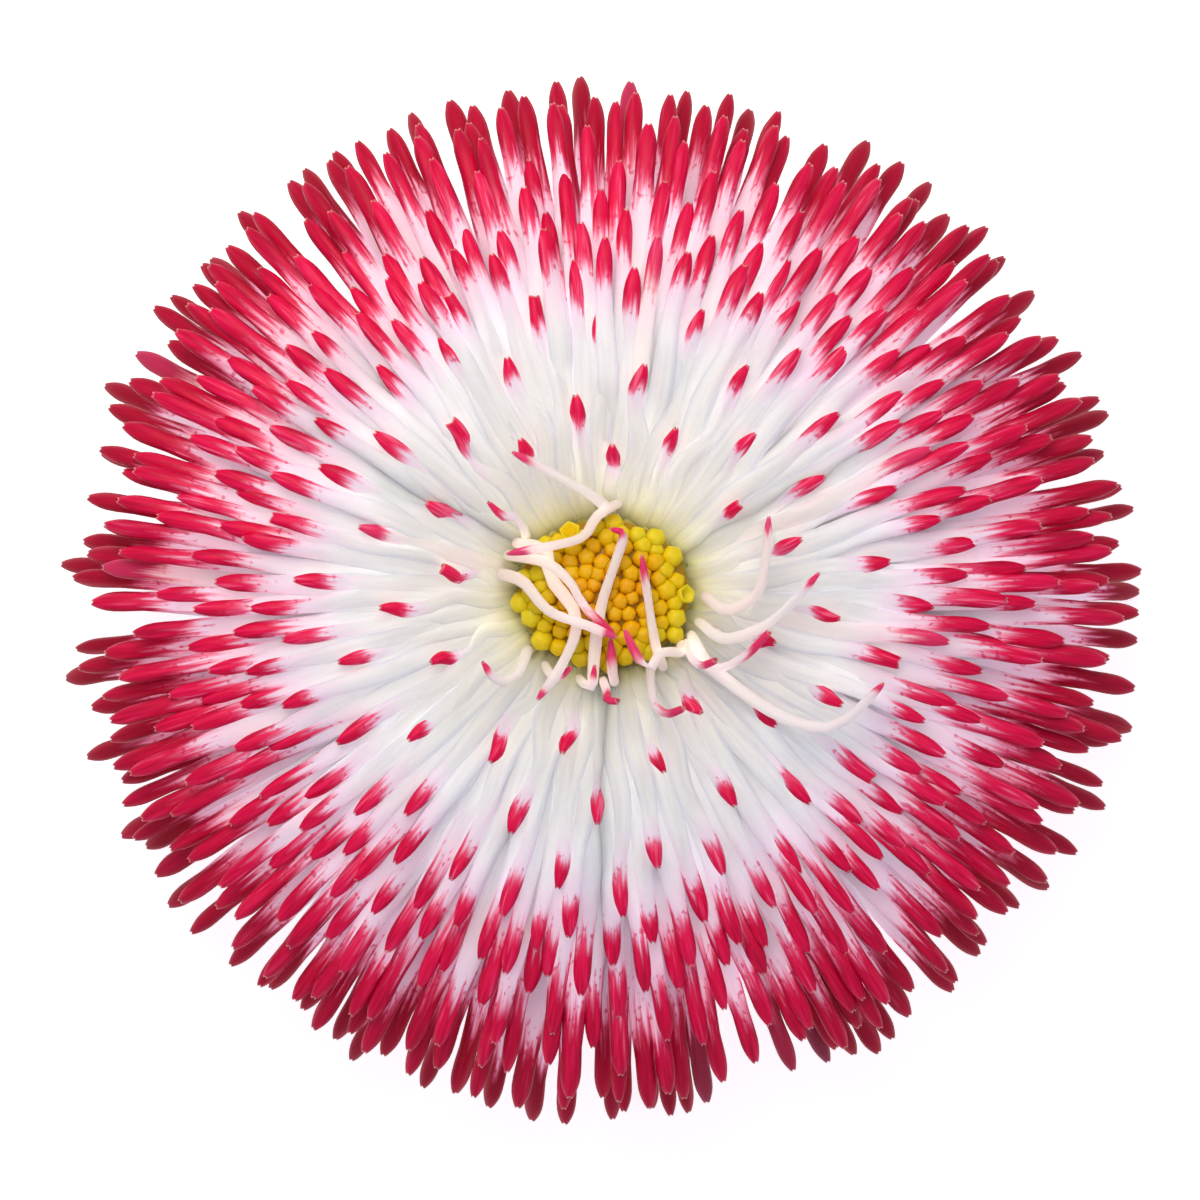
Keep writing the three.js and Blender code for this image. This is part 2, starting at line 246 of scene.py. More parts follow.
class Piece:
    """Collects closed tubes into one mesh, with what its material needs to know of each point."""

    def __init__(self, columns, rows):
        self.points = []
        self.faces = []
        self.corners_uv = []
        self.facts = {}
        self.count = 0
        self.cells = (columns, rows)
        self.cell = 0

    def add_tube(self, grid, facts):
        """grid is rings x points; each end is closed by a fan to its middle."""
        rings, around, _ = grid.shape
        ends = np.stack([grid[0].mean(0), grid[-1].mean(0)])
        first = self.count
        self.points.append(np.vstack([grid.reshape(-1, 3), ends]))
        columns, rows = self.cells
        corner = np.array([self.cell % columns / columns, self.cell // columns / rows])
        size = np.array([0.92 / columns, 0.98 / rows])

        def uv(ring, j):
            return corner + size * np.array([j / around, ring / (rings - 1)])

        for ring in range(rings - 1):
            for j in range(around):
                k = (j + 1) % around
                low = first + ring * around
                high = low + around
                self.faces.append((low + j, high + j, high + k, low + k))
                self.corners_uv += [uv(ring, j), uv(ring + 1, j)]
                self.corners_uv += [uv(ring + 1, j + 1), uv(ring, j + 1)]
        inner = first + rings * around
        outer = inner + 1
        last = first + (rings - 1) * around
        for j in range(around):
            k = (j + 1) % around
            self.faces.append((first + k, inner, first + j))
            self.corners_uv += [uv(0, j + 1), uv(0, j + 0.5), uv(0, j)]
            self.faces.append((last + j, outer, last + k))
            self.corners_uv += [uv(rings - 1, j), uv(rings - 1, j + 0.5), uv(rings - 1, j + 1)]
        for name, values in facts.items():
            values = np.broadcast_to(values, (rings, around)).reshape(-1)
            ends_values = [values[:around].mean(), values[-around:].mean()]
            self.facts.setdefault(name, []).append(np.concatenate([values, ends_values]))
        self.count += rings * around + 2
        self.cell += 1

    def build(self, name, material, node, slot):
        mesh = bpy.data.meshes.new(name)
        mesh.from_pydata((np.vstack(self.points) * MM).tolist(), [], self.faces)
        layer = mesh.uv_layers.new(name="OFBake")
        layer.uv.foreach_set("vector", np.array(self.corners_uv, np.float32).ravel())
        for fact, values in self.facts.items():
            attribute = mesh.attributes.new(fact, "FLOAT", "POINT")
            attribute.data.foreach_set("value", np.concatenate(values).astype(np.float32))
        mesh.polygons.foreach_set("use_smooth", [True] * len(mesh.polygons))
        mesh.materials.append(material)
        mesh.update()
        piece = bpy.data.objects.new(name, mesh)
        bpy.context.scene.collection.objects.link(piece)
        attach(piece, "root")
        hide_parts(node)


def carry_side(tangent, side):
    """The sideways direction at every station, carried along the line without twisting."""
    sides = np.empty_like(tangent)
    for k in range(len(tangent) - 1, -1, -1):
        side = side - tangent[k] * (tangent[k] @ side)
        side = side / np.linalg.norm(side)
        sides[k] = side
    return sides


def sweep_petal(line, side, item, width, thickness, end, twist):
    """Rings of points round a petal's centre line, and how far each lies from tip and root."""
    steps = np.linalg.norm(np.diff(line, axis=0), axis=1)
    length = steps.sum()
    from_tip = length - np.concatenate([[0], np.cumsum(steps)])
    shaft = np.linspace(end[-1][0], length, SHAFT_RINGS + 1)[1:]
    behind = np.array([d for d, _ in end] + shaft.tolist())
    share = np.array([w for _, w in end] + [1] * SHAFT_RINGS)
    centre = np.stack([np.interp(-behind, -from_tip, line[:, k]) for k in range(3)], 1)
    ways = np.gradient(line, axis=0)
    tangent = np.stack([np.interp(-behind, -from_tip, ways[:, k]) for k in range(3)], 1)
    tangent /= np.linalg.norm(tangent, axis=1)[:, None]
    along = 1 - behind / length
    side = carry_side(tangent, side)
    up = np.cross(tangent, side)
    turn = (twist * ease((along - 0.3) / 0.7))[:, None]
    side, up = side * np.cos(turn) + up * np.sin(turn), up * np.cos(turn) - side * np.sin(turn)
    full = share * np.interp(behind, [1.6, 3.2, 4.6, 7], [0.78, 0.73, 0.85, 1])
    half_width = width / 2 * full * mix(0.7, 1, ease(along / 0.4))
    half_thick = np.interp(behind, [0, 2.5, 7], [thickness[1], thickness[1], thickness[0]]) / 2
    half_thick = half_thick * share**0.8

    angle = np.arange(SECTION_POINTS) / SECTION_POINTS * 2 * math.pi
    across = np.cos(angle)
    rise = np.sign(np.sin(angle)) * np.abs(np.sin(angle)) ** 0.9
    # Two shallow grooves run along the upper face, between three ridges.
    depth = np.where(share >= 0.9, 1, share**2)[:, None]
    groove = np.exp(-(((np.abs(across) - 0.38) / 0.2) ** 2)) * (rise > 0)
    dent = 1 - depth * groove * mix(0.06, 0.2, draw(item, 21))
    grid = centre[:, None] + side[:, None] * (half_width[:, None] * across)[:, :, None]
    grid += up[:, None] * (half_thick[:, None] * rise * dent)[:, :, None]
    # The end is nicked in the middle, so that it shows two small teeth.
    teeth = np.exp(-((behind / 0.12) ** 2))[:, None] * (np.abs(across) - 0.5) * 0.16
    grid += tangent[:, None] * teeth[:, :, None]
    in_mouth = (np.arange(len(behind)) < MOUTH_STATIONS)[:, None]
    facts = {
        "tip_mm": behind[:, None],
        "root_mm": (length - behind)[:, None],
        "across_mm": half_width[:, None] * across,
        "back": (rise < -0.75).astype(float)[None, :],
        "mouth": in_mouth * (0.5 if end is OPEN_END else 1.0),
        "petal_draw": np.array([[draw(item, 22)]]),
    }
    return grid, facts


def wavy(line, item, size, lift_mm):
    """A live petal sways a little to the sides and up and down, and its end lies on top."""
    t = np.linspace(0, 1, len(line))
    fade = np.sin(t * math.pi)
    way = line[-1] - line[0]
    flat = np.array([-way[1], way[0], 0]) / math.hypot(way[0], way[1])
    sway = jitter(item, 23, size) * np.sin(2 * math.pi * (t * 1.2 + draw(item, 24)))
    lift = jitter(item, 25, 0.25) * fade * np.sin(2 * math.pi * (t * 1.1 + draw(item, 26)))
    lift += lift_mm * ease((t - 0.7) / 0.3)
    return line + flat * (sway * fade)[:, None] + np.array([0, 0, 1]) * lift[:, None]


def petal_tube(i):
    share = petal_share(i)
    inner = ease((share - 0.85) / 0.15)
    lift_mm = mix(0.2, 0.5, ease(share / 0.4)) + 0.6 * inner
    line = wavy(bezier(petal_controls(i)), i, mix(0.25, 0.6, inner), lift_mm)
    foot = line[0] * [0.84, 0.84, 1] - [0, 0, 0.4]
    line = np.vstack([foot, line])
    azimuth = math.atan2(line[-1][1], line[-1][0])
    side = np.array([-math.sin(azimuth), math.cos(azimuth), jitter(i, 6, 0.35)])
    width = PETAL_WIDTH * (1 + jitter(i, 7, WIDTH_JITTER)) * mix(1.02, 0.86, share**2)
    is_open = share > 0.88 and draw(i, 27) < 0.12
    end = OPEN_END if is_open else NOTCHED_END
    thickness = (SHAFT_THICKNESS, END_THICKNESS)
    grid, facts = sweep_petal(line, side, i, width, thickness, end, jitter(i, 29, 0.35))
    reach = math.hypot(line[-1][0], line[-1][1]) / BLOOM_RADIUS
    red = np.interp(reach, CRIMSON_REACH, CRIMSON_LENGTH) * (1 + jitter(i, 28, RED_JITTER))
    facts["red_mm"] = np.array([[red]])
    facts["row"] = np.array([[1 - share]])
    facts["blush"] = np.array([[0.5 if draw(i, 30) < 0.02 else 0.0]])
    if share < 0.3 and abs(azimuth % (2 * math.pi) - PARTING) < 8 * DEGREE:
        facts["back"] = np.array([[0.85]])
    return grid, facts


def curled_tube(number):
    root, through = CURLED_PETALS[number]
    item = PETALS + number
    foot = root_point(root * DEGREE, ROOT_RADIUS, HEAD_TOP - 1)
    rise = root_point(root * DEGREE, ROOT_RADIUS + 0.1, HEAD_TOP + 1.5)
    through = [(x, y, mix(HEAD_TOP, z, 0.8)) for x, y, z in through]
    line = smooth_line([foot, rise, *through])
    side = np.array([-math.sin(root * DEGREE), math.cos(root * DEGREE), 0.2])
    end = OPEN_END if number in OPEN_CURLS else NOTCHED_END
    width = 0.92 * CURL_WIDTH * (1 + jitter(item, 7, WIDTH_JITTER))
    grid, facts = sweep_petal(line, side, item, width, (0.5, 0.55), end, jitter(item, 29, 0.8))
    facts["red_mm"] = np.array([[mix(0.7, 2.1, draw(item, 28) ** 2)]])
    facts["row"] = np.array([[0.0]])
    facts["blush"] = np.array([[mix(0.3, 1, draw(item, 30))]])
    return grid, facts


def turned(profile, around, ribs=0, rib_depth=0.0):
    """Rings of a turned shape, wavy round its girth where ribs are asked for."""
    angle = np.arange(around) / around * 2 * math.pi
    wave = 1 + rib_depth * np.cos(ribs * angle)
    rings = []
    for radius, height in profile:
        out = radius * wave
        rings.append(np.stack([out * np.cos(angle), out * np.sin(angle), height + 0 * angle], 1))
    return np.stack(rings)


# Disc florets: closed five-lobed buds, of which the ones at the rim are larger, paler and
# lean outwards, and some of those have opened.

# A bud's outline from foot to top: radius and height, both as shares of its radius
CLOSED_BUD = [
    (0.6, -0.9), (0.92, -0.5), (1, 0), (0.98, 0.35),
    (0.88, 0.68), (0.68, 0.92), (0.4, 1.04), (0.12, 1.03),
]
OPEN_BUD = [
    (0.6, -0.9), (0.85, -0.4), (0.93, 0.2), (0.95, 0.7),
    (0.98, 1.02), (0.86, 1.06), (0.55, 0.7), (0.2, 0.2),
]


def bud_tube(i, buds):
    share = (i + 0.5) / buds
    radius = DISC_RADIUS * math.sqrt(share)
    side = DISC_RADIUS + 0.15
    height = HEAD_TOP + NODE_GAP + mix(DISC_DEPTH, 0.5, (radius / side) ** 2)
    azimuth = i * GOLDEN_ANGLE
    size = BUD_RADIUS * mix(0.98, 1.22, share) * (1 + jitter(i, 8, 0.14))
    is_open = share > 0.75 and draw(i, 31) < 0.2
    profile = np.array(OPEN_BUD if is_open else CLOSED_BUD)
    angle = np.arange(15) / 15 * 2 * math.pi
    lobes = 1 + mix(0.02, 0.11, ease(profile[:, 1]))[:, None] * np.cos(5 * angle)
    out = profile[:, :1] * lobes * size
    tall = profile[:, 1:] * size * 1.15 + 0 * angle
    rings = np.stack([out * np.cos(angle), out * np.sin(angle), tall], 2)
    lean = 38 * DEGREE * share + jitter(i, 32, 10 * DEGREE)
    turn = azimuth + jitter(i, 33, 30 * DEGREE)
    outward = np.array([math.cos(turn), math.sin(turn), 0])
    flat = np.array([-math.sin(turn), math.cos(turn), 0])
    axis = outward * math.sin(lean) + np.array([0, 0, math.cos(lean)])
    across = np.cross(flat, axis)
    place = root_point(azimuth, radius, height) + outward * jitter(i, 34, 0.14)
    grid = place + rings[..., :1] * across + rings[..., 1:2] * flat + rings[..., 2:] * axis
    facts = {
        "rim": np.array([[share]]),
        "bud_height": profile[:, 1:],
        "bud_draw": np.array([[draw(i, 35)]]),
    }
    return grid, facts


def disc_piece():
    buds = round((DISC_RADIUS / BUD_SPACING) ** 2 * 3.8)
    piece = Piece(columns=13, rows=8)
    floor = HEAD_TOP + NODE_GAP
    side = DISC_RADIUS + 0.15
    steps = np.linspace(1, 0.02, 7)
    dome = [(0.1, HEAD_TOP - 0.1), (side, HEAD_TOP - 0.1)]
    dome += [(side * s, floor + mix(DISC_DEPTH, 0.5, s**2) - 0.05) for s in steps]
    grid = turned(dome, 40) * np.array([OVAL[0], OVAL[1], 1])
    facts = {
        "rim": np.array([[1.0]]),
        "bud_height": np.array([[-0.9]]),
        "bud_draw": np.array([[0.5]]),
    }
    piece.add_tube(grid, facts)
    for i in range(buds):
        piece.add_tube(*bud_tube(i, buds))
    return piece


def receptacle_piece():
    """The cushion that the petals stand on: it is seen as slivers of olive beside the disc."""
    piece = Piece(columns=1, rows=1)
    profile = [
        (0.3, BLOOM_LIFT - 1.4), (5, BLOOM_LIFT - 1.4), (7.2, BLOOM_LIFT - 0.8), (8.4, BLOOM_LIFT),
        (9, BLOOM_LIFT + 0.8), (9.2, BLOOM_LIFT + 1.6), (8.9, HEAD_TOP - 2.6), (8, HEAD_TOP - 1),
        (7.0, HEAD_TOP - 0.9), (5.8, HEAD_TOP - 0.7), (5.1, HEAD_TOP - 0.5), (4.4, HEAD_TOP - 0.2),
        (0.3, HEAD_TOP),
    ]
    grid = turned(profile, 72, ribs=34, rib_depth=0.012) * np.array([OVAL[0], OVAL[1], 1])
    piece.add_tube(grid, {})
    return piece


def bract_piece():
    """Green cup under the petals: a rosette of blunt bracts, each with a midrib."""
    top = BLOOM_LIFT - 1 - NODE_GAP
    piece = Piece(columns=6, rows=3)
    cup = [
        (0.2, top - BASE_DEPTH), (3.2, top - BASE_DEPTH), (4.3, top - 0.5), (4.9, top - 0.15),
        (5, top), (0.2, top),
    ]
    facts = {
        "along": np.array([[0.0]]),
        "across_mm": np.array([[0.0]]),
        "bract_draw": np.array([[0.5]]),
    }
    piece.add_tube(turned(cup, 40, ribs=BRACTS, rib_depth=0.02), facts)
    angle = np.arange(20) / 20 * 2 * math.pi
    for i in range(BRACTS):
        azimuth = i / BRACTS * 2 * math.pi + jitter(i, 9, 0.06)
        length = BRACT_LENGTH * (1 + jitter(i, 10, 0.07))
        lift = 0.25 * (i % 2)
        away = np.array([math.cos(azimuth), math.sin(azimuth), 0])
        flat = np.array([-away[1], away[0], 0])
        places = [(3.2, 0), (5.5, -0.1), (7.8, lift), (3.7 + length, 0.5 + lift)]
        controls = [away * out + np.array([0, 0, top - 0.45 + height]) for out, height in places]
        line = bezier(controls, 24)
        along = np.linspace(0, 1, 24)
        blunt = np.sqrt(1 - along**3.2 + 1e-4)
        half_width = BRACT_WIDTH / 2 * mix(0.9, 1, np.sin(along * math.pi)) * blunt
        across = np.cos(angle)[None, :] * half_width[:, None]
        midrib = 1 + 0.9 * np.exp(-((np.cos(angle) / 0.16) ** 2)) * (np.sin(angle) < 0)
        rise = 0.17 * np.sin(angle) * midrib * (1 - along[:, None] ** 6 * 0.8)
        cupped = 0.1 * across**2
        grid = line[:, None] + flat * across[..., None]
        grid = grid + np.array([0, 0, 1]) * (rise + cupped)[..., None]
        facts = {
            "along": along[:, None],
            "across_mm": across,
            "bract_draw": np.array([[draw(i, 36)]]),
        }
        piece.add_tube(grid, facts)
    return piece


def stem_piece():
    """Short stub of stem, softly ribbed, cut square, widening into the base of the bracts."""
    top = BLOOM_LIFT - 1 - BASE_DEPTH - NODE_GAP
    piece = Piece(columns=1, rows=1)
    profile = [
        (0.1, STEM_END + 0.1), (0.7, STEM_END + 0.05), (1.2, STEM_END),
        (STEM_RADIUS, STEM_END + 0.08),
    ]
    profile += [(STEM_RADIUS, height) for height in np.linspace(STEM_END + 0.4, top - 2, 6)]
    profile += [
        (STEM_RADIUS + 0.12, top - 1.3), (STEM_RADIUS + 0.4, top - 0.6),
        (STEM_RADIUS + 0.9, top - 0.1), (STEM_RADIUS + 1.3, top + 0.1), (0.1, top + 0.2),
    ]
    piece.add_tube(turned(profile, 48, ribs=9, rib_depth=0.035), {})
    return piece


# Materials


def to_linear(hex_colour):
    """An sRGB hex colour as linear red, green, blue and alpha."""
    channels = [int(hex_colour[k : k + 2], 16) / 255 for k in (1, 3, 5)]
    return [c / 12.92 if c <= 0.04045 else ((c + 0.055) / 1.055) ** 2.4 for c in channels] + [1]


def add(tree, kind, settings, inputs, out=0):
    """Adds one node with its settings; each input takes a number, a hex colour or an output."""
    node = tree.nodes.new(kind)
    for name, value in settings.items():
        if name != "stops":
            setattr(node, name, value)
            continue
        elements = node.color_ramp.elements
        for k, (place, colour) in enumerate(value):
            element = elements[k] if k < 2 else elements.new(place)
            element.position = place
            element.color = to_linear(colour)
    for key, value in inputs.items():
        if isinstance(value, bpy.types.NodeSocket):
            tree.links.new(value, node.inputs[key])
        else:
            node.inputs[key].default_value = to_linear(value) if isinstance(value, str) else value
    return node.outputs[out]


def new_material(name):
    material = bpy.data.materials.new(name)
    material.use_nodes = True
    return material, material.node_tree, material.node_tree.nodes["Principled BSDF"]


ATTRIBUTE = "ShaderNodeAttribute"
MATH = "ShaderNodeMath"
RANGE = "ShaderNodeMapRange"
NOISE = "ShaderNodeTexNoise"
RAMP = "ShaderNodeValToRGB"
BLEND = "ShaderNodeMix"
PLACE = "ShaderNodeCombineXYZ"
OWN_PLACE = "ShaderNodeTexCoord"
BUMP = "ShaderNodeBump"
COLOUR = {"data_type": "RGBA"}
SMOOTH = {"interpolation_type": "SMOOTHSTEP"}


def quilled_petal():
    """Satin petal tissue: white cells full of air, and crimson sap that thins out in streaks."""
    material, tree, surface = new_material("quilled_petal")
    tip = add(tree, ATTRIBUTE, {"attribute_name": "tip_mm"}, {}, 2)
    root = add(tree, ATTRIBUTE, {"attribute_name": "root_mm"}, {}, 2)
    across = add(tree, ATTRIBUTE, {"attribute_name": "across_mm"}, {}, 2)
    red = add(tree, ATTRIBUTE, {"attribute_name": "red_mm"}, {}, 2)
    item = add(tree, ATTRIBUTE, {"attribute_name": "petal_draw"}, {}, 2)
    row = add(tree, ATTRIBUTE, {"attribute_name": "row"}, {}, 2)
    mouth = add(tree, ATTRIBUTE, {"attribute_name": "mouth"}, {}, 2)
    back = add(tree, ATTRIBUTE, {"attribute_name": "back"}, {}, 2)
    blush = add(tree, ATTRIBUTE, {"attribute_name": "blush"}, {}, 2)
    far = add(tree, MATH, {"operation": "MULTIPLY"}, {0: item, 1: 97})

    # Streaks are 0.2 mm across and some 3 mm long.
    streak_across = add(tree, MATH, {"operation": "MULTIPLY"}, {0: across, 1: 4.5})
    streak_along = add(tree, MATH, {"operation": "MULTIPLY"}, {0: tip, 1: 0.3})
    streak_place = add(tree, PLACE, {}, {0: streak_across, 1: streak_along, 2: far})
    streak = add(tree, NOISE, {}, {"Vector": streak_place, "Scale": 1, "Detail": 2})

    # How far the red runs at this point: further in streaks and at the petal's margins.
    stretch = add(tree, RANGE, {}, {"Value": streak, 1: 0.3, 2: 0.7, 3: -0.28, 4: 0.28})
    margin = add(tree, MATH, {"operation": "MULTIPLY"}, {0: across, 1: across})
    inside = add(tree, MATH, {"operation": "DIVIDE"}, {0: tip, 1: red})
    inside = add(tree, MATH, {"operation": "SUBTRACT"}, {0: 1, 1: inside})
    inside = add(tree, MATH, {"operation": "ADD"}, {0: inside, 1: stretch})
    inside = add(tree, MATH, {"operation": "MULTIPLY_ADD"}, {0: margin, 1: 0.5, 2: inside})
    lilac = add(tree, RANGE, SMOOTH, {"Value": inside, 1: -1.5, 2: 0.0, 4: 0.75})
    magenta = add(tree, RANGE, SMOOTH, {"Value": inside, 1: -0.3, 2: 0.2, 4: 0.85})
    sap = add(tree, RANGE, SMOOTH, {"Value": inside, 1: -0.12, 2: 0.4})
    # Specks of sap, 0.15 mm across and 0.3 mm long, are scattered below the red.
    specks_along = add(tree, MATH, {"operation": "MULTIPLY"}, {0: tip, 1: 0.5})
    specks_place = add(tree, PLACE, {}, {0: across, 1: specks_along, 2: far})
    dots = add(tree, NOISE, {}, {"Vector": specks_place, "Scale": 5, "Detail": 0})
    dots = add(tree, RANGE, SMOOTH, {"Value": dots, 1: 0.62, 2: 0.74})
    near = add(tree, RANGE, SMOOTH, {"Value": inside, 1: -0.4, 2: -0.1, 4: 0.7})
    specks = add(tree, MATH, {"operation": "MULTIPLY"}, {0: dots, 1: near})

    # White shaft: yellow-green at the root, cream, then a cool white.
    rise = add(tree, RANGE, {}, {"Value": root, 2: 14.0})
    stops = [(0.0, "#dedc8c"), (1.0, "#ececf2"), (0.05, "#ecebb8"), (0.11, "#f0efd8")]
    stops += [(0.25, "#f0f0e9"), (0.6, "#eff0f0")]
    shaft = add(tree, RAMP, {"stops": stops}, {0: rise})
    # Faint ribs run along it.
    rib = add(tree, RANGE, SMOOTH, {"Value": streak, 1: 0.6, 2: 0.36, 4: 0.14})
    shaft = add(tree, BLEND, COLOUR, {0: rib, 6: shaft, 7: "#c3c7d6"}, 2)
    # The upper rows are rolled; their sides, where they turn away from the light, are painted a
    # bluish grey: painted shade.
    rolled = add(tree, RANGE, {}, {"Value": row, 1: 0.4, 2: 0.1})
    painted_side_shade = add(tree, RANGE, SMOOTH, {"Value": margin, 1: 0.06, 2: 0.36, 4: 0.55})
    painted_side_shade = add(tree, MATH, {"operation": "MULTIPLY"}, {0: painted_side_shade, 1: rolled})
    shaft = add(tree, BLEND, COLOUR, {0: painted_side_shade, 6: shaft, 7: "#c3c7d6"}, 2)
    low = add(tree, RANGE, {}, {"Value": row, 1: 0.45, 2: 1.0, 4: 0.85})
    # The low rows' lilac is lighter and pinker, partly their own tint and partly painted light on
    # shafts that slope away from the lamp.
    tint = add(tree, BLEND, COLOUR, {0: low, 6: "#f0d6ec", 7: "#ffe0f8"}, 2)
    shaft = add(tree, BLEND, COLOUR, {0: lilac, 6: shaft, 7: tint}, 2)
    shaft = add(tree, BLEND, COLOUR, {0: magenta, 6: shaft, 7: "#ea4f87"}, 2)
    shaft = add(tree, BLEND, COLOUR, {0: specks, 6: shaft, 7: "#d3226a"}, 2)
    # Crimson end: bright in some streaks and petals, its palest pink partly real streaks and
    # partly painted highlight; lighter in the upper rows and darker in the low rows, partly real
    # and partly painted shade; darker at its sides, which is painted shade.
    stops = [(0.32, "#ca003c"), (0.67, "#f81c5c"), (0.5, "#ec0048"), (0.84, "#ff789c")]
    shade = add(tree, MATH, {"operation": "MULTIPLY_ADD"}, {0: item, 1: 0.16, 2: streak})
    # Partly painted shade: the ramp is pushed darker in the low rows.
    shade = add(tree, MATH, {"operation": "MULTIPLY_ADD"}, {0: row, 1: -0.16, 2: shade})
    crimson = add(tree, RAMP, {"stops": stops}, {0: shade})
    # Painted shade: the crimson darkens towards the rounded sides of the end.
    side = add(tree, RANGE, SMOOTH, {"Value": margin, 1: 0.08, 2: 0.3, 4: 0.6})
    crimson = add(tree, BLEND, COLOUR, {0: side, 6: crimson, 7: "#aa0030"}, 2)
    # The low rows' crimson turns deeper, partly its own colour and partly painted shade.
    crimson = add(tree, BLEND, COLOUR, {0: low, 6: crimson, 7: "#a40226"}, 2)
    colour = add(tree, BLEND, COLOUR, {0: sap, 6: shaft, 7: crimson}, 2)
    # The petals that curl over the disc, and a few others, are washed with pink.
    wash = add(tree, BLEND, COLOUR, {0: sap, 6: "#f6e5e0", 7: "#ee4d84"}, 2)
    washed = add(tree, MATH, {"operation": "MULTIPLY"}, {0: blush, 1: 0.8})
    colour = add(tree, BLEND, COLOUR, {0: washed, 6: colour, 7: wash}, 2)
    # The underside of a petal is a dull rose.
    dull = add(tree, MATH, {"operation": "MULTIPLY"}, {0: back, 1: low})
    colour = add(tree, BLEND, COLOUR, {0: dull, 6: colour, 7: "#93405a"}, 2)
    # A closed end is dark maroon in its nick, partly its own colour and partly painted shade in
    # the hollow;
    # an open one is pale pink inside; the teeth are straw.
    teeth = add(tree, RANGE, SMOOTH, {"Value": tip, 1: 0.12, 2: 0.0, 4: 0.6})
    colour = add(tree, BLEND, COLOUR, {0: teeth, 6: colour, 7: "#f0beb0"}, 2)
    throat = add(tree, RANGE, {}, {"Value": mouth, 1: 0.5, 2: 1.0})
    throat = add(tree, BLEND, COLOUR, {0: throat, 6: "#f3b9c6", 7: "#5c0a18"}, 2)
    within = add(tree, RANGE, {}, {"Value": mouth, 2: 0.5})
    colour = add(tree, BLEND, COLOUR, {0: within, 6: colour, 7: throat}, 2)
    tree.links.new(colour, surface.inputs["Base Color"])

    surface.inputs["Roughness"].default_value = 0.42
    surface.inputs["Specular IOR Level"].default_value = 0.3
    surface.inputs["IOR"].default_value = 1.4
    surface.subsurface_method = "BURLEY"
    # Light spreads through the white tissue, and hardly through the crimson sap.
    glow = add(tree, MATH, {"operation": "SUBTRACT"}, {0: 1, 1: sap})
    tree.links.new(glow, surface.inputs["Subsurface Weight"])
    surface.inputs["Subsurface Radius"].default_value = (1, 0.9, 0.9)
    surface.inputs["Subsurface Scale"].default_value = 2.0 * MM
    return material


def disc_bud():
    """Waxy florets: amber in the middle of the disc, yellow and then yellow-green at its rim."""
    material, tree, surface = new_material("disc_bud")
    rim = add(tree, ATTRIBUTE, {"attribute_name": "rim"}, {}, 2)
    height = add(tree, ATTRIBUTE, {"attribute_name": "bud_height"}, {}, 2)
    item = add(tree, ATTRIBUTE, {"attribute_name": "bud_draw"}, {}, 2)
    shift = add(tree, RANGE, {}, {"Value": item, 3: -0.2, 4: 0.2})
    place = add(tree, MATH, {"operation": "ADD"}, {0: rim, 1: shift})
    stops = [(0.1, "#f8b400"), (0.95, "#f2dc20"), (0.45, "#f9c600"), (0.7, "#f8d206")]
    colour = add(tree, RAMP, {"stops": stops}, {0: place})
    # Low on the buds and between them the colour turns olive brown: painted shade in the crevices.
    painted_crevice_shade = add(tree, RANGE, SMOOTH, {"Value": height, 1: 0.45, 2: -0.5})
    colour = add(tree, BLEND, COLOUR, {0: painted_crevice_shade, 6: colour, 7: "#bd9208"}, 2)
    where = add(tree, OWN_PLACE, {}, {}, 3)
    grain = add(tree, NOISE, {}, {"Vector": where, "Scale": 1 / (0.12 * MM), "Detail": 2})
    bump = add(tree, BUMP, {}, {"Height": grain, "Strength": 0.2, "Distance": 0.03 * MM})
    tree.links.new(colour, surface.inputs["Base Color"])
    tree.links.new(bump, surface.inputs["Normal"])
    surface.inputs["Roughness"].default_value = 0.4
    surface.inputs["Specular IOR Level"].default_value = 0.3
    surface.inputs["Subsurface Weight"].default_value = 0.6
    surface.inputs["Subsurface Radius"].default_value = (1, 0.7, 0.2)
    surface.inputs["Subsurface Scale"].default_value = 0.4 * MM
    return material


def receptacle_flesh():
    """Soft pith in random patches of yellow-green and olive; the olive is painted shade."""
    material, tree, surface = new_material("receptacle_flesh")
    where = add(tree, OWN_PLACE, {}, {}, 3)
    patches = add(tree, NOISE, {}, {"Vector": where, "Scale": 1 / (0.7 * MM), "Detail": 3})
    colour = add(tree, RAMP, {"stops": [(0.35, "#8f8e34"), (0.65, "#d0cb6c")]}, {0: patches})
    tree.links.new(colour, surface.inputs["Base Color"])
    surface.inputs["Roughness"].default_value = 0.6
    return material


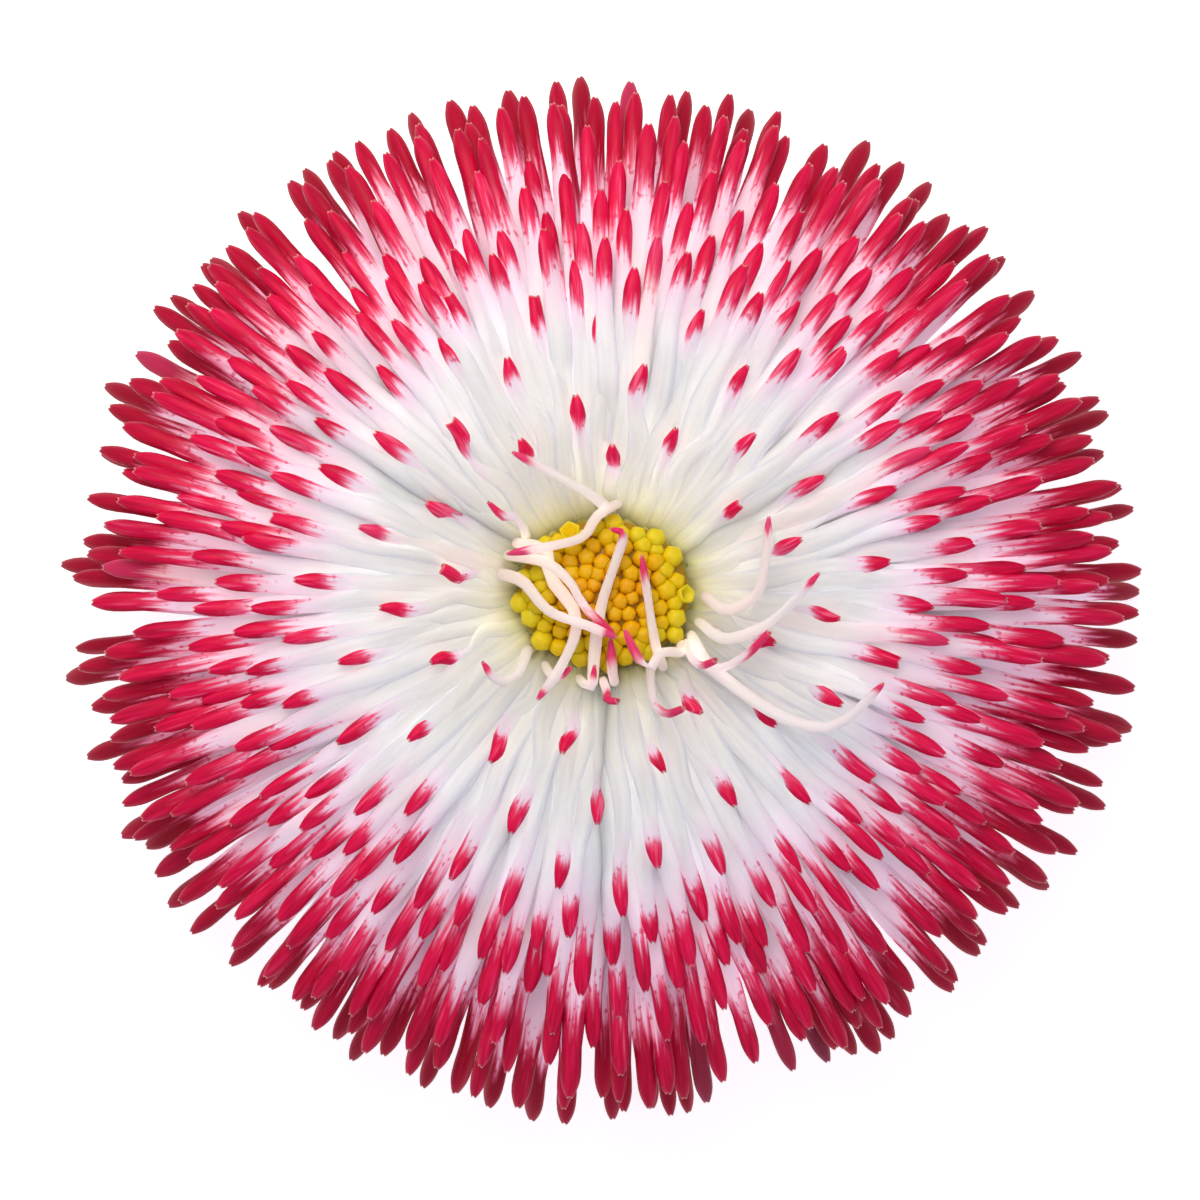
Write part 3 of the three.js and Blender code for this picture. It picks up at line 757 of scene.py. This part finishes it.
def bract_leaf():
    """Leafy green with a paler midrib and fine lengthwise veins, purplish at the tip."""
    material, tree, surface = new_material("bract_leaf")
    along = add(tree, ATTRIBUTE, {"attribute_name": "along"}, {}, 2)
    across = add(tree, ATTRIBUTE, {"attribute_name": "across_mm"}, {}, 2)
    item = add(tree, ATTRIBUTE, {"attribute_name": "bract_draw"}, {}, 2)
    veins_across = add(tree, MATH, {"operation": "MULTIPLY"}, {0: across, 1: 5})
    far = add(tree, MATH, {"operation": "MULTIPLY"}, {0: item, 1: 50})
    veins_place = add(tree, PLACE, {}, {0: veins_across, 1: along, 2: far})
    veins = add(tree, NOISE, {}, {"Vector": veins_place, "Scale": 1.4, "Detail": 3})
    colour = add(tree, RAMP, {"stops": [(0.3, "#466a2a"), (0.7, "#7c9a4a")]}, {0: veins})
    middle = add(tree, MATH, {"operation": "ABSOLUTE"}, {0: across})
    midrib = add(tree, RANGE, SMOOTH, {"Value": middle, 1: 0.22, 2: 0.05, 4: 0.5})
    colour = add(tree, BLEND, COLOUR, {0: midrib, 6: colour, 7: "#a8ba70"}, 2)
    tinge = add(tree, RANGE, SMOOTH, {"Value": along, 1: 0.8, 2: 1.0, 4: 0.6})
    colour = add(tree, BLEND, COLOUR, {0: tinge, 6: colour, 7: "#6b4048"}, 2)
    bump = add(tree, BUMP, {}, {"Height": veins, "Strength": 0.4, "Distance": 0.06 * MM})
    tree.links.new(colour, surface.inputs["Base Color"])
    tree.links.new(bump, surface.inputs["Normal"])
    surface.inputs["Roughness"].default_value = 0.5
    surface.inputs["Subsurface Weight"].default_value = 0.2
    surface.inputs["Subsurface Radius"].default_value = (0.5, 1, 0.3)
    surface.inputs["Subsurface Scale"].default_value = 0.3 * MM
    return material


def stem_skin():
    """Juicy green stem with pale flecks drawn out along it."""
    material, tree, surface = new_material("stem_skin")
    where = add(tree, OWN_PLACE, {}, {}, 3)
    fleck_sizes = (1 / (0.25 * MM), 1 / (0.25 * MM), 1 / (2 * MM))
    stretched = add(tree, "ShaderNodeMapping", {}, {"Vector": where, "Scale": fleck_sizes})
    flecks = add(tree, NOISE, {}, {"Vector": stretched, "Scale": 1, "Detail": 3})
    colour = add(tree, RAMP, {"stops": [(0.3, "#6f8f3e"), (0.7, "#a9bd6c")]}, {0: flecks})
    bump = add(tree, BUMP, {}, {"Height": flecks, "Strength": 0.3, "Distance": 0.05 * MM})
    tree.links.new(colour, surface.inputs["Base Color"])
    tree.links.new(bump, surface.inputs["Normal"])
    surface.inputs["Roughness"].default_value = 0.45
    surface.inputs["Subsurface Weight"].default_value = 0.3
    surface.inputs["Subsurface Radius"].default_value = (0.6, 1, 0.3)
    surface.inputs["Subsurface Scale"].default_value = 0.6 * MM
    return material


def matt_white_board():
    """Matt white card, softly lit from below: plain, with only the faintest tooth."""
    material, tree, surface = new_material("matt_white_board")
    where = add(tree, OWN_PLACE, {}, {}, 3)
    tooth = add(tree, NOISE, {}, {"Vector": where, "Scale": 1 / (0.5 * MM), "Detail": 0})
    colour = add(tree, RAMP, {"stops": [(0.3, "#fbfbfb"), (0.7, "#fdfdfd")]}, {0: tooth})
    tree.links.new(colour, surface.inputs["Base Color"])
    surface.inputs["Roughness"].default_value = 0.95
    surface.inputs["Specular IOR Level"].default_value = 0.1
    surface.inputs["Emission Color"].default_value = to_linear("#ffffff")
    surface.inputs["Emission Strength"].default_value = 0.65
    # The glow is wide and even, so no rays are aimed at it.
    material.cycles.emission_sampling = "NONE"
    return material


petal_material = quilled_petal()

# Petals, a third of the way round the bloom in each piece
for third, piece_name in enumerate(["upper_petals", "left_petals", "right_petals"]):
    piece = Piece(columns=60, rows=3)
    for i in range(PETALS):
        turns = i * GOLDEN_ANGLE / (2 * math.pi) - 1 / 12
        if math.floor(turns % 1 * 3) == third:
            piece.add_tube(*petal_tube(i))
    piece.build(piece_name, petal_material, "ray_petals", "petal")

curls = Piece(columns=10, rows=2)
for number in range(len(CURLED_PETALS)):
    curls.add_tube(*curled_tube(number))
curls.build("curled_petals", petal_material, "ray_petals", "petal")

receptacle_piece().build("receptacle", receptacle_flesh(), "ray_petals", "petal")
disc_piece().build("disc_buds", disc_bud(), "disc_florets", "disc")
bract_piece().build("bract_rosette", bract_leaf(), "involucre_bracts", "bract")
stem_piece().build("stem_stub", stem_skin(), "stem", "stem")

# Stage, in metres

FLOOR_SIZE = 4.0
KEY_PLACE = (-0.018, 0.05, 0.11)  # near the bloom, so that its upper left is lit most
CAMERA_DISTANCE = 0.6
RIM_HEIGHT = 0.008
FRAME_WIDTH = 1200 / 17.5 * MM  # what the photo shows at the height of the rim
SENSOR_WIDTH = 36  # millimetres


def floor_and_light():
    mesh = bpy.data.meshes.new("floor")
    half = FLOOR_SIZE / 2
    corners = [(-half, -half, 0), (half, -half, 0), (half, half, 0), (-half, half, 0)]
    mesh.from_pydata(corners, [], [(0, 1, 2, 3)])
    floor = bpy.data.objects.new("floor", mesh)
    bpy.context.scene.collection.objects.link(floor)
    mesh.materials.append(matt_white_board())

    world = bpy.data.worlds.new("studio")
    world.use_nodes = True
    sky = world.node_tree.nodes["Background"]
    sky.inputs["Color"].default_value = to_linear("#e2ecff")
    sky.inputs["Strength"].default_value = 0.5
    # Nor are any aimed at the even sky.
    world.cycles.sampling_method = "NONE"
    bpy.context.scene.world = world

    key = bpy.data.lights.new("key", "AREA")
    key.energy = 0.078
    key.size = 0.08
    key.color = to_linear("#ffeed6")[:3]
    light = bpy.data.objects.new("key", key)
    light.location = KEY_PLACE
    light.rotation_euler = (-Vector(light.location)).to_track_quat("-Z", "Y").to_euler()
    bpy.context.scene.collection.objects.link(light)


def camera_above():
    """Straight above, far enough away that the rim and the disc keep their proportions."""
    camera = bpy.data.objects.new("camera", bpy.data.cameras.new("camera"))
    camera.data.sensor_width = SENSOR_WIDTH
    camera.data.lens = SENSOR_WIDTH * (CAMERA_DISTANCE - RIM_HEIGHT) / FRAME_WIDTH
    camera.location = (-0.0002, -0.0004, CAMERA_DISTANCE)
    bpy.context.scene.collection.objects.link(camera)
    bpy.context.scene.camera = camera


floor_and_light()
camera_above()
bpy.context.scene.view_settings.view_transform = "Standard"
